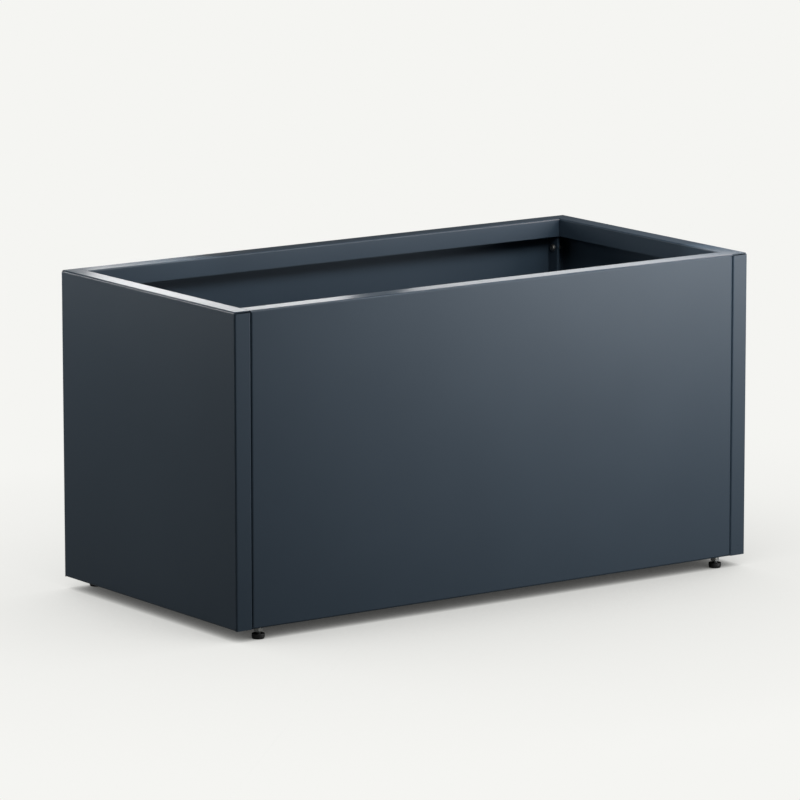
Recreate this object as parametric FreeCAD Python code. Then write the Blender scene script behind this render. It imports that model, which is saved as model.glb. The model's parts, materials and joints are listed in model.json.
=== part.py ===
# Rectangular planter of folded sheet steel on four levelling feet.
#
# Millimetres, +Z up. The length runs along X and the front faces -Y.
# The origin is on the floor, under the middle of the planter.

import FreeCAD
import Part

import math
import os

# Outside size of the walls
LENGTH = 1000.0
WIDTH = 500.0
WALL_HEIGHT = 500.0

# Sheet and its folds
SHEET = 2.0
BEND_INSIDE = 1.0
BEND_OUTSIDE = BEND_INSIDE + SHEET
BEND_RELIEF = 0.5      # slit that parts two folds where they would meet at a corner
PAINT_GAP = 0.2        # between two coated faces that are clamped together
JOINT_GAP = 0.6        # between two edges of the rim that butt together

# Rim: the top edge turns in and then down as a lip
RIM_WIDTH = 32.0
RIM_DROP = 30.0
CORNER_WRAP = RIM_WIDTH - SHEET      # how far an end panel comes round onto the long sides

# Flanges that are bolted face to face behind each corner seam
LIP_CLEARANCE = 3.0
SEAM_FLANGE = RIM_WIDTH - SHEET - LIP_CLEARANCE
SEAM_SCREW_COUNT = 3
SEAM_SCREW_MARGIN = 22.0      # from the lip and from the tray to the nearest screw

# Seam screw, M6 with a flanged button head
SCREW_DIAMETER = 6.0
SCREW_LENGTH = 16.0
SCREW_TIP = 0.8
SCREW_HOLE_CLEARANCE = 0.3
HEAD_DIAMETER = 10.5
HEAD_HEIGHT = 3.3
HEAD_CROWN_DIAMETER = 6.5
HEAD_FLANGE_DIAMETER = 13.6
HEAD_FLANGE_HEIGHT = 1.0
HEAD_KEY = 4.0
HEAD_KEY_DEPTH = 2.1

# Seam nut, M6 with a flange
SEAM_NUT_FLATS = 10.0
SEAM_NUT_HEIGHT = 6.0
SEAM_NUT_FLANGE_DIAMETER = 14.2
SEAM_NUT_FLANGE_HEIGHT = 1.2
THREAD_CLEARANCE = 0.08

# Bottom flanges: those of the long panels take the feet
FOOT_FLANGE = 30.0
FOOT_INSET = 50.0      # from the end of the planter to a foot
END_FLANGE = CORNER_WRAP - PAINT_GAP / 2 - SHEET - BEND_RELIEF

# Foot pad
PAD_DIAMETER = 20.6
PAD_HEIGHT = 8.5
PAD_FLOOR = 2.2
PAD_TAPER = 1.0
PAD_TAPER_HEIGHT = 3.5
PAD_EDGE = 0.6

# Foot stud, M8, with a disc that turns in the pad
STUD_DIAMETER = 8.0
STUD_LENGTH = 40.0
STUD_TIP = 1.0
STUD_DISC_DIAMETER = 13.0
STUD_DISC_HEIGHT = 2.6
STUD_KEY = 4.0
STUD_KEY_DEPTH = 5.0
SOCKET_CLEARANCE = 0.3

# Lock nut, M8
FOOT_NECK = 3.0      # stud that shows between the pad and the lock nut
LOCK_NUT_FLATS = 13.0
LOCK_NUT_HEIGHT = 6.5

# Rivet nut, M8, set in the bottom flange
INSERT_FLANGE_DIAMETER = 15.0
INSERT_FLANGE_HEIGHT = 1.0
INSERT_DIAMETER = 11.0
INSERT_BULGE_DIAMETER = 14.0
INSERT_BULGE_HEIGHT = 4.0
INSERT_LENGTH = 13.0      # above the sheet
INSERT_CLEARANCE = 0.05

# Base tray, a shallow pan turned upside down on the bottom flanges
TRAY_HEIGHT = 30.0
TRAY_CLEARANCE = 2.0
DRAIN_DIAMETER = 12.0
DRAIN_ROW_SPACING = 220.0
DRAIN_ROWS = 2
DRAIN_COLUMNS = 3
KEY_HOLE_DIAMETER = 14.0      # lets a key reach the top of a stud

# Base bearers, channels across the width under the tray
BEARER_SPACING = 320.0
BEARER_WIDTH = 40.0

# Lets a cut run past the faces it goes through
OVERRUN = 5.0

# Places that follow from the sizes
LEFT = -LENGTH / 2
FRONT = -WIDTH / 2
REAR = WIDTH / 2
BOTTOM = PAD_HEIGHT + FOOT_NECK + LOCK_NUT_HEIGHT + INSERT_FLANGE_HEIGHT
TOP = BOTTOM + WALL_HEIGHT
SEAM = LENGTH / 2 - CORNER_WRAP
SEAM_SCREW_INSET = (BEND_OUTSIDE + SEAM_FLANGE) / 2
TRAY_TOP = BOTTOM + SHEET + TRAY_HEIGHT
SEAM_SCREW_LOW = TRAY_TOP + SEAM_SCREW_MARGIN
SEAM_SCREW_HIGH = TOP - RIM_DROP - SEAM_SCREW_MARGIN
FOOT_X = LENGTH / 2 - FOOT_INSET
FOOT_Y = WIDTH / 2 - FOOT_FLANGE / 2

ORIGIN = FreeCAD.Vector(0, 0, 0)
ALONG_X = FreeCAD.Vector(1, 0, 0)
ALONG_Y = FreeCAD.Vector(0, 1, 0)
UP = FreeCAD.Vector(0, 0, 1)
QUARTER_TURN = 90
HALF_TURN = 180
FULL_TURN = 360
HEX_SIDES = 6
NUT_CHAMFER_ANGLE = 30

# How far the middle of a quarter arc lies from its corner, as a share of its radius each way
ARC_MIDDLE_SHARE = 1 - math.sqrt(0.5)

CORNERS = {
    "front_left": (-1, -1),
    "front_right": (1, -1),
    "rear_left": (-1, 1),
    "rear_right": (1, 1),
}


def rounded_chain(corners, radius):
    """Edges along a chain of corners, with each right-angled turn rounded."""
    edges = []
    start = corners[0]
    for before, corner, after in zip(corners, corners[1:], corners[2:]):
        come = (corner - before).normalize()
        leave = (after - corner).normalize()
        first = corner - come * radius
        middle = corner + (leave - come) * (radius * ARC_MIDDLE_SHARE)
        last = corner + leave * radius
        edges.append(Part.LineSegment(start, first).toShape())
        edges.append(Part.Arc(first, middle, last).toShape())
        start = last
    edges.append(Part.LineSegment(start, corners[-1]).toShape())
    return edges


def folded_strip(skin, run):
    """Strip of sheet folded at the corners of its outer skin and drawn out along run.

    The folds are right angles and all turn the same way.
    """
    ways = [(after - before).normalize() for before, after in zip(skin, skin[1:])]
    inward = ways[1:] + [ways[-2] * -1]
    lining = [skin[0] + inward[0] * SHEET]
    for corner, come, leave in zip(skin[1:], inward, inward[1:]):
        lining.append(corner + (come + leave) * SHEET)
    lining.append(skin[-1] + inward[-1] * SHEET)
    outline = rounded_chain(skin, BEND_OUTSIDE)
    outline.append(Part.LineSegment(skin[-1], lining[-1]).toShape())
    outline += rounded_chain(lining[::-1], BEND_INSIDE)
    outline.append(Part.LineSegment(lining[0], skin[0]).toShape())
    return Part.Face(Part.Wire(outline)).extrude(run)


def block(x_range, y_range, z_range):
    """Upright block between the given limits, in either order."""
    low = FreeCAD.Vector(min(x_range), min(y_range), min(z_range))
    high = FreeCAD.Vector(max(x_range), max(y_range), max(z_range))
    size = high - low
    return Part.makeBox(size.x, size.y, size.z, low)


def turned(profile):
    """Solid turned about Z from (radius, height) corners."""
    points = [FreeCAD.Vector(radius, 0, height) for radius, height in profile]
    face = Part.Face(Part.makePolygon(points + points[:1]))
    return face.revolve(ORIGIN, UP, FULL_TURN)


def hex_bar(flats, height):
    """Six-sided bar that stands on the origin."""
    reach = flats / math.sqrt(3)
    turns = [math.radians(FULL_TURN * side / HEX_SIDES) for side in range(HEX_SIDES)]
    points = [FreeCAD.Vector(reach * math.cos(turn), reach * math.sin(turn), 0) for turn in turns]
    return Part.Face(Part.makePolygon(points + points[:1])).extrude(UP * height)


def hex_nut(flats, height, bore):
    """Nut that stands on the origin, with its corners chamfered at both ends."""
    corner = flats / math.sqrt(3)
    chamfer = (corner - flats / 2) * math.tan(math.radians(NUT_CHAMFER_ANGLE))
    envelope = turned([
        (0, 0), (flats / 2, 0), (corner, chamfer),
        (corner, height - chamfer), (flats / 2, height), (0, height),
    ])
    return hex_bar(flats, height).common(envelope).cut(Part.makeCylinder(bore / 2, height))


def half_turn_about_z(shape):
    """Copy of a shape turned half round about the upright axis of the planter."""
    copy = shape.copy()
    copy.rotate(ORIGIN, UP, HALF_TURN)
    return copy


def seam_screw_heights():
    """Heights of the screws in one seam, evenly spaced."""
    pitch = (SEAM_SCREW_HIGH - SEAM_SCREW_LOW) / (SEAM_SCREW_COUNT - 1)
    return [SEAM_SCREW_LOW + pitch * index for index in range(SEAM_SCREW_COUNT)]


def seam_holes(side_x, side_y):
    """Tools that bore the screw holes of one seam, through both of its flanges."""
    radius = SCREW_DIAMETER / 2 + SCREW_HOLE_CLEARANCE
    depth = 2 * (SHEET + OVERRUN)
    x = side_x * SEAM - depth / 2
    y = side_y * (WIDTH / 2 - SEAM_SCREW_INSET)
    bores = []
    for z in seam_screw_heights():
        bores.append(Part.makeCylinder(radius, depth, FreeCAD.Vector(x, y, z), ALONG_X))
    return bores


def long_panel_seam_flange(side):
    """Flange at one end of the front panel, turned in behind the seam."""
    face = SEAM - PAINT_GAP / 2
    low = BOTTOM + BEND_OUTSIDE + BEND_RELIEF
    high = TOP - BEND_OUTSIDE - BEND_RELIEF
    skin = [
        FreeCAD.Vector(side * (face - BEND_OUTSIDE - BEND_RELIEF), FRONT, low),
        FreeCAD.Vector(side * face, FRONT, low),
        FreeCAD.Vector(side * face, FRONT + SEAM_FLANGE, low),
    ]
    return folded_strip(skin, UP * (high - low))


def front_panel():
    """Front panel: bottom flange, face, rim and lip in one fold, with a seam flange at each end."""
    reach = SEAM - JOINT_GAP / 2
    profile = [
        (FRONT + FOOT_FLANGE, BOTTOM),
        (FRONT, BOTTOM),
        (FRONT, TOP),
        (FRONT + RIM_WIDTH, TOP),
        (FRONT + RIM_WIDTH, TOP - RIM_DROP),
    ]
    panel = folded_strip([FreeCAD.Vector(-reach, y, z) for y, z in profile], ALONG_X * (2 * reach))
    root = SEAM - PAINT_GAP / 2 - BEND_OUTSIDE - BEND_RELIEF
    for side in (-1, 1):
        panel = panel.cut(block(
            (side * root, side * (SEAM + OVERRUN)),
            (FRONT - OVERRUN, FRONT + SHEET + OVERRUN),
            (BOTTOM + BEND_OUTSIDE, TOP - BEND_OUTSIDE),
        ))
        panel = panel.fuse(long_panel_seam_flange(side))
        panel = panel.cut(seam_holes(side, -1))
        foot = FreeCAD.Vector(side * FOOT_X, -FOOT_Y, BOTTOM - OVERRUN)
        radius = INSERT_DIAMETER / 2 + INSERT_CLEARANCE
        panel = panel.cut(Part.makeCylinder(radius, SHEET + 2 * OVERRUN, foot))
    return panel.removeSplitter()


def end_panel_wall():
    """Upright walls of the left end panel: face, a wrap round each corner and the two seam flanges."""
    face = -(SEAM + PAINT_GAP / 2)
    plan = [
        (face, FRONT + SEAM_FLANGE),
        (face, FRONT),
        (LEFT, FRONT),
        (LEFT, REAR),
        (face, REAR),
        (face, REAR - SEAM_FLANGE),
    ]
    skin = [FreeCAD.Vector(x, y, BOTTOM) for x, y in plan]
    return folded_strip(skin, UP * (WALL_HEIGHT - BEND_OUTSIDE))


def end_panel_rim():
    """Rim and lip of the left end panel, cut back at both ends for the rims of the long panels."""
    root = TOP - BEND_OUTSIDE - BEND_RELIEF
    start = FRONT + BEND_OUTSIDE
    profile = [
        (LEFT, root),
        (LEFT, TOP),
        (LEFT + RIM_WIDTH, TOP),
        (LEFT + RIM_WIDTH, TOP - RIM_DROP),
    ]
    rim = folded_strip([FreeCAD.Vector(x, start, z) for x, z in profile], ALONG_Y * (-2 * start))
    for side in (-1, 1):
        rim = rim.cut(block(
            (-SEAM - JOINT_GAP / 2, LEFT + RIM_WIDTH + OVERRUN),
            (side * (WIDTH / 2 - RIM_WIDTH - JOINT_GAP), side * (WIDTH / 2)),
            (TOP - RIM_DROP - OVERRUN, TOP + OVERRUN),
        ))
    return rim


def end_panel_bottom_flange():
    """Bottom edge of the left end panel, turned in between the two wraps."""
    root = BOTTOM + BEND_OUTSIDE + BEND_RELIEF
    start = FRONT + BEND_OUTSIDE + BEND_RELIEF
    profile = [(LEFT, root), (LEFT, BOTTOM), (LEFT + END_FLANGE, BOTTOM)]
    return folded_strip([FreeCAD.Vector(x, start, z) for x, z in profile], ALONG_Y * (-2 * start))


def left_end_panel():
    """Left end panel, folded from one blank."""
    between_wraps = (FRONT + BEND_OUTSIDE, REAR - BEND_OUTSIDE)
    through_face = (LEFT - OVERRUN, LEFT + SHEET + OVERRUN)
    fold = BEND_OUTSIDE + BEND_RELIEF
    panel = end_panel_wall()
    panel = panel.cut(block(through_face, between_wraps, (BOTTOM - OVERRUN, BOTTOM + fold)))
    panel = panel.cut(block(through_face, between_wraps, (TOP - fold, TOP + OVERRUN)))
    panel = panel.fuse([end_panel_rim(), end_panel_bottom_flange()])
    for side in (-1, 1):
        panel = panel.cut(seam_holes(-1, side))
    return panel.removeSplitter()


def seam_screw():
    """Flanged button-head screw, with its bearing face on the origin and its shank along +Z."""
    shank = SCREW_DIAMETER / 2
    body = turned([
        (0, -HEAD_HEIGHT),
        (HEAD_CROWN_DIAMETER / 2, -HEAD_HEIGHT),
        (HEAD_DIAMETER / 2, -HEAD_FLANGE_HEIGHT),
        (HEAD_FLANGE_DIAMETER / 2, -HEAD_FLANGE_HEIGHT),
        (HEAD_FLANGE_DIAMETER / 2, 0),
        (shank, 0),
        (shank, SCREW_LENGTH - SCREW_TIP),
        (shank - SCREW_TIP, SCREW_LENGTH),
        (0, SCREW_LENGTH),
    ])
    socket = hex_bar(HEAD_KEY, HEAD_KEY_DEPTH)
    socket.translate(UP * -HEAD_HEIGHT)
    return body.cut(socket)


def seam_nut():
    """Flanged nut, with its bearing face on the origin and its hexagon along +Z."""
    bore = SCREW_DIAMETER + 2 * THREAD_CLEARANCE
    flange = Part.makeCylinder(SEAM_NUT_FLANGE_DIAMETER / 2, SEAM_NUT_FLANGE_HEIGHT)
    flange = flange.cut(Part.makeCylinder(bore / 2, SEAM_NUT_FLANGE_HEIGHT))
    return hex_nut(SEAM_NUT_FLATS, SEAM_NUT_HEIGHT, bore).fuse(flange).removeSplitter()


def along_seam(piece, side_x, side_y, face):
    """One copy of a fastener per screw of a seam, laid along X with its bearing face at face."""
    copies = []
    for z in seam_screw_heights():
        copy = piece.copy()
        copy.rotate(ORIGIN, ALONG_Y, side_x * QUARTER_TURN)
        copy.translate(FreeCAD.Vector(side_x * face, side_y * (WIDTH / 2 - SEAM_SCREW_INSET), z))
        copies.append(copy)
    return Part.makeCompound(copies)


def foot_pad():
    """Moulded pad that stands on the floor, hollowed for the disc of the stud."""
    radius = PAD_DIAMETER / 2
    neck = STUD_DIAMETER / 2 + SOCKET_CLEARANCE
    socket = STUD_DISC_DIAMETER / 2 + SOCKET_CLEARANCE
    socket_top = PAD_FLOOR + STUD_DISC_HEIGHT + 2 * SOCKET_CLEARANCE
    return turned([
        (0, 0),
        (radius - PAD_TAPER - PAD_EDGE, 0),
        (radius - PAD_TAPER, PAD_EDGE),
        (radius, PAD_TAPER_HEIGHT),
        (radius, PAD_HEIGHT - PAD_EDGE),
        (radius - PAD_EDGE, PAD_HEIGHT),
        (neck, PAD_HEIGHT),
        (neck, socket_top),
        (socket, socket_top),
        (socket, PAD_FLOOR),
        (0, PAD_FLOOR),
    ])


def foot_stud():
    """Stud with a disc at its foot and a key socket in its top."""
    foot = PAD_FLOOR + SOCKET_CLEARANCE
    disc = foot + STUD_DISC_HEIGHT
    tip = foot + STUD_LENGTH
    radius = STUD_DIAMETER / 2
    body = turned([
        (0, foot),
        (STUD_DISC_DIAMETER / 2, foot),
        (STUD_DISC_DIAMETER / 2, disc),
        (radius, disc),
        (radius, tip - STUD_TIP),
        (radius - STUD_TIP, tip),
        (0, tip),
    ])
    socket = hex_bar(STUD_KEY, STUD_KEY_DEPTH)
    socket.translate(UP * (tip - STUD_KEY_DEPTH))
    return body.cut(socket)


def foot_lock_nut():
    """Nut on the stud, tight against the flange of the rivet nut."""
    nut = hex_nut(LOCK_NUT_FLATS, LOCK_NUT_HEIGHT, STUD_DIAMETER + 2 * THREAD_CLEARANCE)
    nut.translate(UP * (PAD_HEIGHT + FOOT_NECK))
    return nut


def foot_rivet_nut():
    """Rivet nut: flange under the sheet, bulge and barrel above it."""
    bore = STUD_DIAMETER / 2 + THREAD_CLEARANCE
    sheet_top = BOTTOM + SHEET
    return turned([
        (bore, BOTTOM - INSERT_FLANGE_HEIGHT),
        (INSERT_FLANGE_DIAMETER / 2, BOTTOM - INSERT_FLANGE_HEIGHT),
        (INSERT_FLANGE_DIAMETER / 2, BOTTOM),
        (INSERT_DIAMETER / 2, BOTTOM),
        (INSERT_DIAMETER / 2, sheet_top),
        (INSERT_BULGE_DIAMETER / 2, sheet_top),
        (INSERT_DIAMETER / 2, sheet_top + INSERT_BULGE_HEIGHT),
        (INSERT_DIAMETER / 2, sheet_top + INSERT_LENGTH),
        (bore, sheet_top + INSERT_LENGTH),
    ])


def at_foot(piece, side_x, side_y):
    """Copy of a foot's piece at one corner."""
    copy = piece.copy()
    copy.translate(FreeCAD.Vector(side_x * FOOT_X, side_y * FOOT_Y, 0))
    return copy


def drain_places():
    """Centres of the drain holes, in columns between the bearers."""
    places = []
    for column in range(DRAIN_COLUMNS):
        x = (column - (DRAIN_COLUMNS - 1) / 2) * BEARER_SPACING
        for row in range(DRAIN_ROWS):
            places.append((x, (row - (DRAIN_ROWS - 1) / 2) * DRAIN_ROW_SPACING))
    return places


def base_tray():
    """Base plate with its edges turned down, notched round the seam flanges and bored for drains."""
    low = BOTTOM + SHEET
    full_x = LENGTH / 2 - SHEET - TRAY_CLEARANCE
    full_y = WIDTH / 2 - SHEET - TRAY_CLEARANCE
    notch_x = SEAM - PAINT_GAP / 2 - SHEET - TRAY_CLEARANCE
    notch_y = WIDTH / 2 - SEAM_FLANGE - TRAY_CLEARANCE
    across = [(-full_y, low), (-full_y, TRAY_TOP), (full_y, TRAY_TOP), (full_y, low)]
    along = [(-full_x, low), (-full_x, TRAY_TOP), (full_x, TRAY_TOP), (full_x, low)]
    tray = folded_strip([FreeCAD.Vector(-notch_x, y, z) for y, z in across], ALONG_X * (2 * notch_x))
    tray = tray.fuse(
        folded_strip([FreeCAD.Vector(x, -notch_y, z) for x, z in along], ALONG_Y * (2 * notch_y))
    )
    holes = [(x, y, DRAIN_DIAMETER) for x, y in drain_places()]
    holes += [(x * FOOT_X, y * FOOT_Y, KEY_HOLE_DIAMETER) for x, y in CORNERS.values()]
    for x, y, diameter in holes:
        foot = FreeCAD.Vector(x, y, TRAY_TOP - SHEET - OVERRUN)
        tray = tray.cut(Part.makeCylinder(diameter / 2, SHEET + 2 * OVERRUN, foot))
    return tray.removeSplitter()


def base_bearer(x):
    """Channel across the width, open below, that carries the tray between the bottom flanges."""
    low = BOTTOM + SHEET
    high = TRAY_TOP - SHEET
    reach = WIDTH / 2 - 2 * (SHEET + TRAY_CLEARANCE)
    half = BEARER_WIDTH / 2
    profile = [(x - half, low), (x - half, high), (x + half, high), (x + half, low)]
    return folded_strip([FreeCAD.Vector(u, -reach, z) for u, z in profile], ALONG_Y * (2 * reach))


def planter():
    """Every piece of the planter, by name."""
    front = front_panel()
    left = left_end_panel()
    pieces = {
        "front_panel": front,
        "rear_panel": half_turn_about_z(front),
        "left_end_panel": left,
        "right_end_panel": half_turn_about_z(left),
        "base_tray": base_tray(),
        "base_bearer_left": base_bearer(-BEARER_SPACING / 2),
        "base_bearer_right": base_bearer(BEARER_SPACING / 2),
    }
    screw_face = SEAM - PAINT_GAP / 2 - SHEET
    nut_face = SEAM + PAINT_GAP / 2 + SHEET
    for corner, (side_x, side_y) in CORNERS.items():
        pieces["seam_screws_" + corner] = along_seam(seam_screw(), side_x, side_y, screw_face)
        pieces["seam_nuts_" + corner] = along_seam(seam_nut(), side_x, side_y, nut_face)
        pieces["foot_pad_" + corner] = at_foot(foot_pad(), side_x, side_y)
        pieces["foot_stud_" + corner] = at_foot(foot_stud(), side_x, side_y)
        pieces["foot_lock_nut_" + corner] = at_foot(foot_lock_nut(), side_x, side_y)
        pieces["foot_rivet_nut_" + corner] = at_foot(foot_rivet_nut(), side_x, side_y)
    return pieces


os.makedirs("parts", exist_ok=True)
for name, shape in planter().items():
    shape.exportStep("parts/" + name + ".step")
    state = "valid" if shape.isValid() else "INVALID"
    print(name, len(shape.Solids), "solids", round(shape.Volume), "mm3", state)
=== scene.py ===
# %% [markdown]
# A rectangular planter of folded sheet steel, coated in a dark blue-grey, on four levelling feet.
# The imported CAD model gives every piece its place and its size.
# This lesson dresses it: each piece is modelled again with finer edges, and each finish is built from nodes.

# %% Load the frame
import json
import math

import bmesh
import bpy
from mathutils import Matrix, Vector


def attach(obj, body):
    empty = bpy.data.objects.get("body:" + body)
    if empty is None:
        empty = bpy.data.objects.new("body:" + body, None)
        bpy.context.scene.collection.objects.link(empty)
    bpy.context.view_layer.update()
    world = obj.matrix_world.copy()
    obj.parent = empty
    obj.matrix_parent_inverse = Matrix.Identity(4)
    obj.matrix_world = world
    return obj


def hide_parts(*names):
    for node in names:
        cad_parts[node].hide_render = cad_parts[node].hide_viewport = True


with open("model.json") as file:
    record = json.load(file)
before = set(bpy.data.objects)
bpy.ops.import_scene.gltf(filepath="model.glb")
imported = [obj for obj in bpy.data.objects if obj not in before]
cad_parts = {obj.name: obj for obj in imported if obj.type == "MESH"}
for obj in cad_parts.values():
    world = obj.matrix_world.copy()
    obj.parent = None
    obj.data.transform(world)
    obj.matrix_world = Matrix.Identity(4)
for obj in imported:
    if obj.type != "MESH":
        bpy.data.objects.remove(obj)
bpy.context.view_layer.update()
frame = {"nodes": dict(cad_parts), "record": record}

MM = 0.001


# %% [markdown]
# Every finish below is a small graph of nodes, so a few helpers come first.
# One turns a colour as a designer writes it, in sRGB hex, into the linear light that a shader works in.
# Another adds one node, sets it up and links its inputs, so that a whole graph reads from top to bottom.

# %% Colour and node helpers
def hex_colour(text):
    """Linear RGBA of an sRGB hex colour."""
    channels = [int(text[place:place + 2], 16) / 255 for place in (1, 3, 5)]
    linear = [c / 12.92 if c <= 0.04045 else ((c + 0.055) / 1.055) ** 2.4 for c in channels]
    return (*linear, 1.0)


def new_tree(block):
    """The emptied node tree of a material or a world."""
    block.use_nodes = True
    block.node_tree.nodes.clear()
    return block.node_tree


def add_node(tree, kind, settings=None, inputs=None, links=None):
    """Adds a node, sets its properties and input values, and links other sockets into its inputs."""
    node = tree.nodes.new(kind)
    for name, value in (settings or {}).items():
        setattr(node, name, value)
    for name, value in (inputs or {}).items():
        node.inputs[name].default_value = value
    for name, source in (links or {}).items():
        tree.links.new(source, node.inputs[name])
    return node


print("helpers ready; middle grey is", round(hex_colour("#808080")[0], 3))


# %% [markdown]
# The photograph was taken from far off with a long lens, a little above the rim and to the left of the front.
# The camera's place, its lens and its tilt were worked out from the corners of the planter in the picture.

# %% Camera
CAMERA_PLACE = Vector((-5.386, -7.607, 2.022))
CAMERA_LOOK = Vector((0.56713, 0.80316, -0.18254))
CAMERA_ROLL = math.radians(-0.06)
CAMERA_LENS = 263.85
SENSOR_WIDTH = 36.0

camera_data = bpy.data.cameras.new("camera")
camera_data.lens = CAMERA_LENS
camera_data.sensor_width = SENSOR_WIDTH
camera_data.sensor_fit = "HORIZONTAL"
camera_data.clip_end = 200
camera = bpy.data.objects.new("camera", camera_data)
turn = CAMERA_LOOK.to_track_quat("-Z", "Y").to_matrix() @ Matrix.Rotation(CAMERA_ROLL, 3, "Z")
camera.matrix_world = Matrix.Translation(CAMERA_PLACE) @ turn.to_4x4()
bpy.context.collection.objects.link(camera)
bpy.context.scene.camera = camera
bpy.context.scene.view_settings.view_transform = "Standard"
print("camera", tuple(round(value, 3) for value in camera.location))


# %% [markdown]
# The world is a dim, even studio, so that the lamps do the modelling.
# Its light is the only light in the deepest corners of the planter.

# %% World
BACKGROUND = "#f5f5f2"
STUDIO_LIGHT = 0.12

world = bpy.data.worlds.new("studio")
bpy.context.scene.world = world
tree = new_tree(world)
dim = add_node(tree, "ShaderNodeBackground",
               inputs={"Color": hex_colour(BACKGROUND), "Strength": STUDIO_LIGHT})
add_node(tree, "ShaderNodeOutputWorld", links={"Surface": dim.outputs[0]})
print("world strength", STUDIO_LIGHT)


# %% [markdown]
# The planter stands on a wide pale floor that fills the picture.
# To the camera the floor glows at the background's own colour, and less where the planter shades it.
# An ambient occlusion node measures that shade: it tells how much of the open sky each spot of it sees,
# and a ramp turns that share into the brightness read from the photograph's soft shadow.
# The floor rides on the pad of one foot, so when all feet are wound out, the planter stands higher above it.

# %% Floor glow
FLOOR_SIZE = 80.0
SHADE_REACH = 0.9
SHADE = ((0.0, 0.04), (0.16, 0.21), (0.43, 0.575), (0.65, 0.84), (0.88, 0.95), (1.0, 1.0))

bpy.ops.mesh.primitive_plane_add(size=FLOOR_SIZE)
floor = bpy.context.object
floor.name = "studio_floor"
floor_paper = bpy.data.materials.new("studio_paper_rolled_out")
floor.data.materials.append(floor_paper)
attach(floor, "pad_front_left")
tree = new_tree(floor_paper)
open_sky = add_node(tree, "ShaderNodeAmbientOcclusion", {"samples": 16}, inputs={"Distance": SHADE_REACH})
shade = add_node(tree, "ShaderNodeValToRGB", links={"Fac": open_sky.outputs["AO"]})
stops = shade.color_ramp.elements
for sky, _ in SHADE[1:-1]:
    stops.new(sky)
for stop, (sky, light) in zip(stops, SHADE):
    stop.position = sky
    stop.color = (light, light, light, 1)
glow = add_node(tree, "ShaderNodeEmission", inputs={"Color": hex_colour(BACKGROUND)},
                links={"Strength": shade.outputs["Color"]})
print("floor", FLOOR_SIZE, "m across")


# %% [markdown]
# A glowing floor would also light the planter from below, and the photograph shows no such light.
# So only the camera sees the full glow, reflections see a share of it,
# and for all other light the floor is dark paper. A light path node tells these rays apart.
# From below the floor is clear, so that the underside of the planter can be looked at.

# %% Floor paper
PAPER = "#4a4a49"
MIRRORED_SHARE = 0.3

path = add_node(tree, "ShaderNodeLightPath")
mirrored = add_node(tree, "ShaderNodeMath", {"operation": "MULTIPLY"}, inputs={1: MIRRORED_SHARE},
                    links={0: path.outputs["Is Glossy Ray"]})
seen = add_node(tree, "ShaderNodeMath", {"operation": "MAXIMUM"},
                links={0: path.outputs["Is Camera Ray"], 1: mirrored.outputs[0]})
paper = add_node(tree, "ShaderNodeBsdfDiffuse", inputs={"Color": hex_colour(PAPER)})
top_side = add_node(tree, "ShaderNodeMixShader",
                    links={0: seen.outputs[0], 1: paper.outputs[0], 2: glow.outputs[0]})
clear = add_node(tree, "ShaderNodeBsdfTransparent")
side = add_node(tree, "ShaderNodeNewGeometry")
both = add_node(tree, "ShaderNodeMixShader",
                links={0: side.outputs["Backfacing"], 1: top_side.outputs[0], 2: clear.outputs[0]})
add_node(tree, "ShaderNodeOutputMaterial", links={"Surface": both.outputs[0]})
print("floor paper has", len(tree.nodes), "nodes")


# %% [markdown]
# Soft lamps light the planter. The main one stands low at the front and to the right, where the front panel
# mirrors it, so the panel brightens towards its upper right.
# A second one hangs over the front and lights the upper half more.
# A third one stands beyond the right end and shines over its rim, so the inside of the rear panel catches its
# light and falls dark towards the right corner. It is warm, because the blue walls tint each other's light.
# Two weak ones fill the left end: one evenly, and one low behind, which its upper edge mirrors.
# The last one fills the back, which the photograph doesn't show, so that the planter can be seen all round.

# %% Lamps
def soft_lamp(name, place, aim, size, watts, spread=180, colour="#ffffff"):
    """A rectangular area lamp that faces a point, with its beam narrowed to a spread in degrees."""
    data = bpy.data.lights.new(name, "AREA")
    data.shape = "RECTANGLE"
    data.size, data.size_y = size
    data.energy = watts
    data.spread = math.radians(spread)
    data.color = hex_colour(colour)[:3]
    lamp = bpy.data.objects.new(name, data)
    look = (Vector(aim) - Vector(place)).to_track_quat("-Z", "Y")
    lamp.matrix_world = Matrix.Translation(Vector(place)) @ look.to_matrix().to_4x4()
    lamp.visible_camera = False
    bpy.context.collection.objects.link(lamp)


soft_lamp("main_lamp", place=(1.75, -2.1, 0.6), aim=(0.5, -0.25, 0.68), size=(0.78, 0.78), watts=5.9,
          spread=60)
soft_lamp("front_lamp", place=(0.3, -0.85, 1.35), aim=(0.1, -0.25, 0.4), size=(1.2, 0.5), watts=17)
soft_lamp("mouth_lamp", place=(0.94, -0.19, 0.89), aim=(-0.1, 0.25, 0.45), size=(0.4, 0.4), watts=8.8,
          colour="#ffe8dc")
soft_lamp("left_lamp", place=(-1.7, 0.2, 1.25), aim=(-0.5, 0.0, 0.45), size=(1.0, 1.0), watts=4.2)
soft_lamp("left_low_lamp", place=(-1.5, 1.45, 0.85), aim=(-0.5, -0.05, 0.65), size=(0.5, 0.5), watts=2.9,
          spread=70)
soft_lamp("rear_lamp", place=(0.2, 2.1, 0.55), aim=(0.0, 0.25, 0.3), size=(1.4, 0.6), watts=9)


# %% [markdown]
# The near rims are almost white in the photograph and the far rims are not, although all of them lie level.
# So the light that they mirror has to stand between them. Two small lamps hang just over the planter's mouth
# and face the camera: the near rims mirror them at a flat angle, and the far rims are behind them.

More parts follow.
